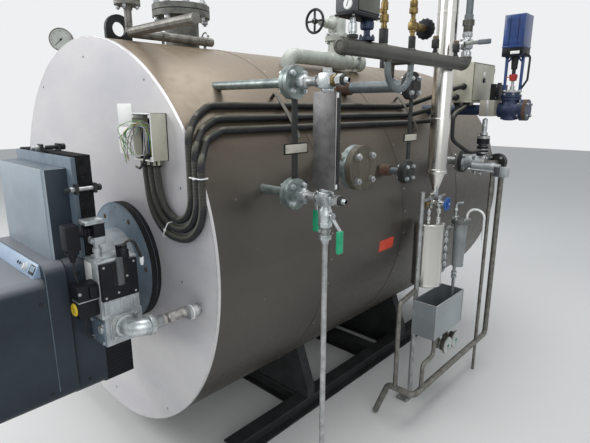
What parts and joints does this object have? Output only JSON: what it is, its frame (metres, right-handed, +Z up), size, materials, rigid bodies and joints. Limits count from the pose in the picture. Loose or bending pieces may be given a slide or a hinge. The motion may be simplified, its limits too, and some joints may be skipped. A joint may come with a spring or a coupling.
{
  "type": "industrial boiler",
  "caption": "Horizontal fire-tube boiler in a round lagged casing with a bolted-on gas burner, level gauge, instrument header and sampling set.",
  "frame": {"origin": "on the floor, midway along the underside of the cross member below the front saddle", "axes": "+Z up, +Y from the burner to the rear cover along the casing, +X towards the side with the fittings"},
  "size_m": [2.201, 3.58, 2.255],
  "materials": {
    "dark_sheet": "satin",
    "cover_sheet": "satin",
    "base_paint": "matte",
    "black_steel": "satin",
    "burner_paint": "satin",
    "burner_light": "satin",
    "display_film": "satin",
    "gasket": "matte",
    "cast_alloy": "cast",
    "galvanised": "dull",
    "stainless": "brushed",
    "raw_steel": "aged",
    "black_plastic": "matte",
    "cable_black": "matte",
    "box_cream": "satin",
    "cast_iron": "painted",
    "brass": "worn",
    "green_grip": "satin",
    "blue_paint": "gloss",
    "dark_blue": "satin",
    "vessel_grey": "satin",
    "dial_white": "satin"
  },
  "bodies": {
    "boiler": {"casing": "dark_sheet", "front_cover": "cover_sheet", "rear_cover": "cover_sheet", "flue_outlet": "galvanised", "base_beams": "base_paint", "base_crossbars": "base_paint", "saddles": "base_paint", "lifting_lugs": "black_steel", "burner_flange": "burner_light", "burner_gasket": "gasket", "burner_neck": "cast_alloy", "burner_housing": "burner_paint", "display_panel": "display_film", "burner_hood": "burner_light", "hinge_plate": "burner_light", "rear_frame": "black_steel", "tie_bolts": "galvanised", "air_intake": "black_plastic", "gas_valve_body": "cast_alloy", "gas_valve_coils": "black_plastic", "pressure_switches": "black_plastic", "gas_elbow": "galvanised", "gas_hose": "stainless", "junction_box": "box_cream", "cable_conduits": "cable_black", "conduit_clips": "galvanised", "gauge_nozzles": "cast_iron", "gauge_cocks": "raw_steel", "gauge_body": "raw_steel", "drain_pipe": "galvanised", "level_mark_bars": "raw_steel", "blank_nozzle": "cast_iron", "probe_nozzles": "cast_iron", "instrument_header": "raw_steel", "pressure_box": "black_plastic", "brass_fittings": "brass", "header_valve": "stainless", "steam_nozzle": "cast_iron", "top_valve": "cast_iron", "dial_gauge": "dial_white", "vent_pipe": "raw_steel", "riser": "stainless", "sample_cooler": "stainless", "sample_stand": "galvanised", "cooling_vessel": "vessel_grey", "tundish": "galvanised", "drain_pipework": "raw_steel", "sampling_drains": "raw_steel", "flow_discs": "dial_white", "blowdown_valve": "raw_steel", "control_box": "box_cream", "feed_valve": "dark_blue", "feed_cladding": "galvanised", "feed_relay_box": "black_plastic", "feed_actuator": "dark_blue"},
    "drain_lever_body": {"drain_lever": "green_grip"},
    "cock_lever_body": {"cock_lever": "green_grip"},
    "header_lever_body": {"header_lever": "galvanised"},
    "top_handwheel_body": {"top_handwheel": "black_steel"},
    "sample_handwheel_body": {"sample_handwheel": "blue_paint"}
  },
  "joints": [
    {"name": "drain_lever_turn", "type": "hinge", "parent": "boiler", "child": "drain_lever_body", "pos_m": [1.1933, -0.534, 1.318], "axis": [1, 0, 0], "range_deg": [0, 90]},
    {"name": "cock_lever_turn", "type": "hinge", "parent": "boiler", "child": "cock_lever_body", "pos_m": [1.081, -0.4877, 1.376], "axis": [0, -1, 0], "range_deg": [0, 90]},
    {"name": "header_lever_turn", "type": "hinge", "parent": "boiler", "child": "header_lever_body", "pos_m": [1.08, 0.6537, 1.996], "axis": [0, -1, 0], "range_deg": [0, 90]},
    {"name": "top_handwheel_turn", "type": "hinge", "parent": "boiler", "child": "top_handwheel_body", "pos_m": [0.4, 0.29, 2.135], "axis": [0, 1, 0], "range_deg": [0, 720]},
    {"name": "sample_handwheel_turn", "type": "hinge", "parent": "boiler", "child": "sample_handwheel_body", "pos_m": [1.067, 0.641, 1.168], "axis": [1, 0, 0], "range_deg": [0, 720]}
  ]
}
